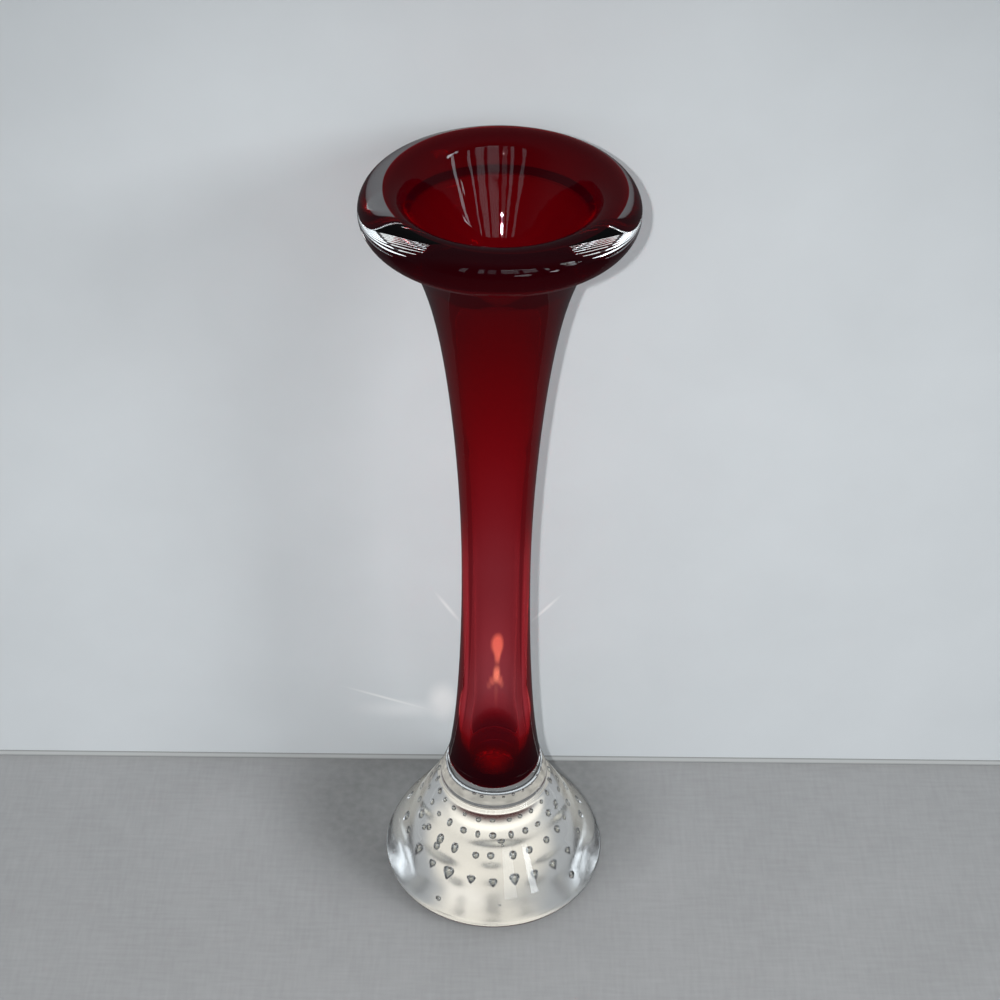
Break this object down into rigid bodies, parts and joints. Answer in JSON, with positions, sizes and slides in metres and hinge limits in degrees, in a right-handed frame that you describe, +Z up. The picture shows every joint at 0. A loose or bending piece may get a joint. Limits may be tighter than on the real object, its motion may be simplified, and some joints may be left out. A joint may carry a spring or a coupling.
{
  "type": "art glass vase",
  "caption": "Slender trumpet vase of ruby glass cased in clear glass, with a thick rolled lip and a clear domed foot that holds rings of trapped air bubbles.",
  "frame": {"origin": "middle of the flat underside, on the surface that the vase stands on", "axes": "+Z up along the vase's axis, towards its mouth"},
  "size_m": [0.0614, 0.0614, 0.21],
  "materials": {
    "ruby_glass": "polished ruby glass",
    "casing_glass": "polished clear glass",
    "core_glass": "clear glass with trapped air bubbles",
    "foot_glass": "polished clear glass"
  },
  "bodies": {
    "root": {"ruby_lining": "ruby_glass", "stem_casing": "casing_glass", "foot_core": "core_glass", "foot_gather": "foot_glass"}
  },
  "joints": []
}
